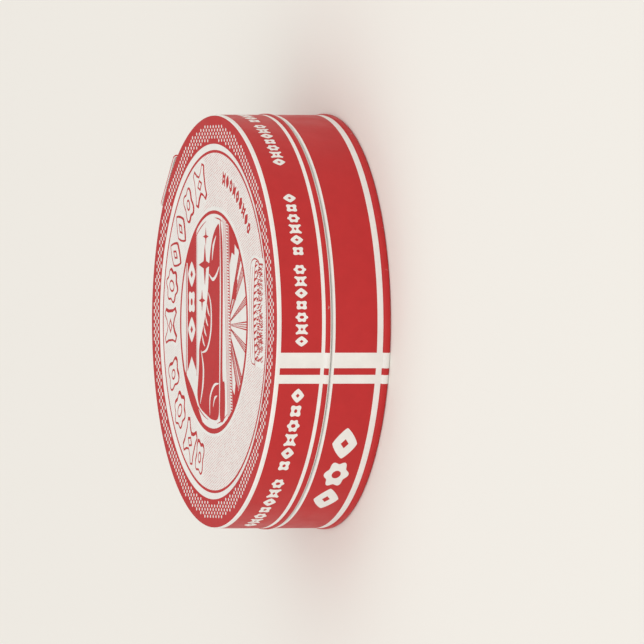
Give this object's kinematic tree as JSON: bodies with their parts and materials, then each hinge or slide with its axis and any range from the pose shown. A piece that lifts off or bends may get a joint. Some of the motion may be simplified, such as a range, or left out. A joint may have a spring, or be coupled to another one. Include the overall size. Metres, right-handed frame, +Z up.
{
  "type": "shoe polish tin",
  "caption": "Round flat tin of wax shoe polish with a push-on lid, printed bands and rings, and a riveted twist key on its side for easing the lid off.",
  "frame": {"origin": "centre of the foot, on the surface that the tin stands on", "axes": "+Z up through the middle of the lid; -Y towards the viewer of the tin's front; the twist key's axis lies 47.7 degrees from +X towards +Y"},
  "size_m": [0.0886, 0.0886, 0.0253],
  "materials": {
    "lid_paint": "red and cream lithographed lacquer over tinplate, semi-gloss",
    "pan_paint": "red and cream lithographed lacquer outside, bare tinplate inside",
    "wax": "poured wax paste, satin",
    "key_steel": "plated steel, satin",
    "rivet_steel": "plated steel, satin"
  },
  "bodies": {
    "base": {"base_pan": "pan_paint", "polish": "wax", "key_rivet": "rivet_steel"},
    "lid": {"lid": "lid_paint"},
    "key": {"twist_key": "key_steel"}
  },
  "joints": [
    {"name": "lid_lift", "type": "slide", "parent": "base", "child": "lid", "axis": [0, 0, 1], "range_m": [0, 0.04]},
    {"name": "key_turn", "type": "hinge", "parent": "base", "child": "key", "pos_m": [0.02961, 0.03254, 0.0106], "axis": [0.673, 0.7396, 0], "range_deg": [0, 90]}
  ]
}
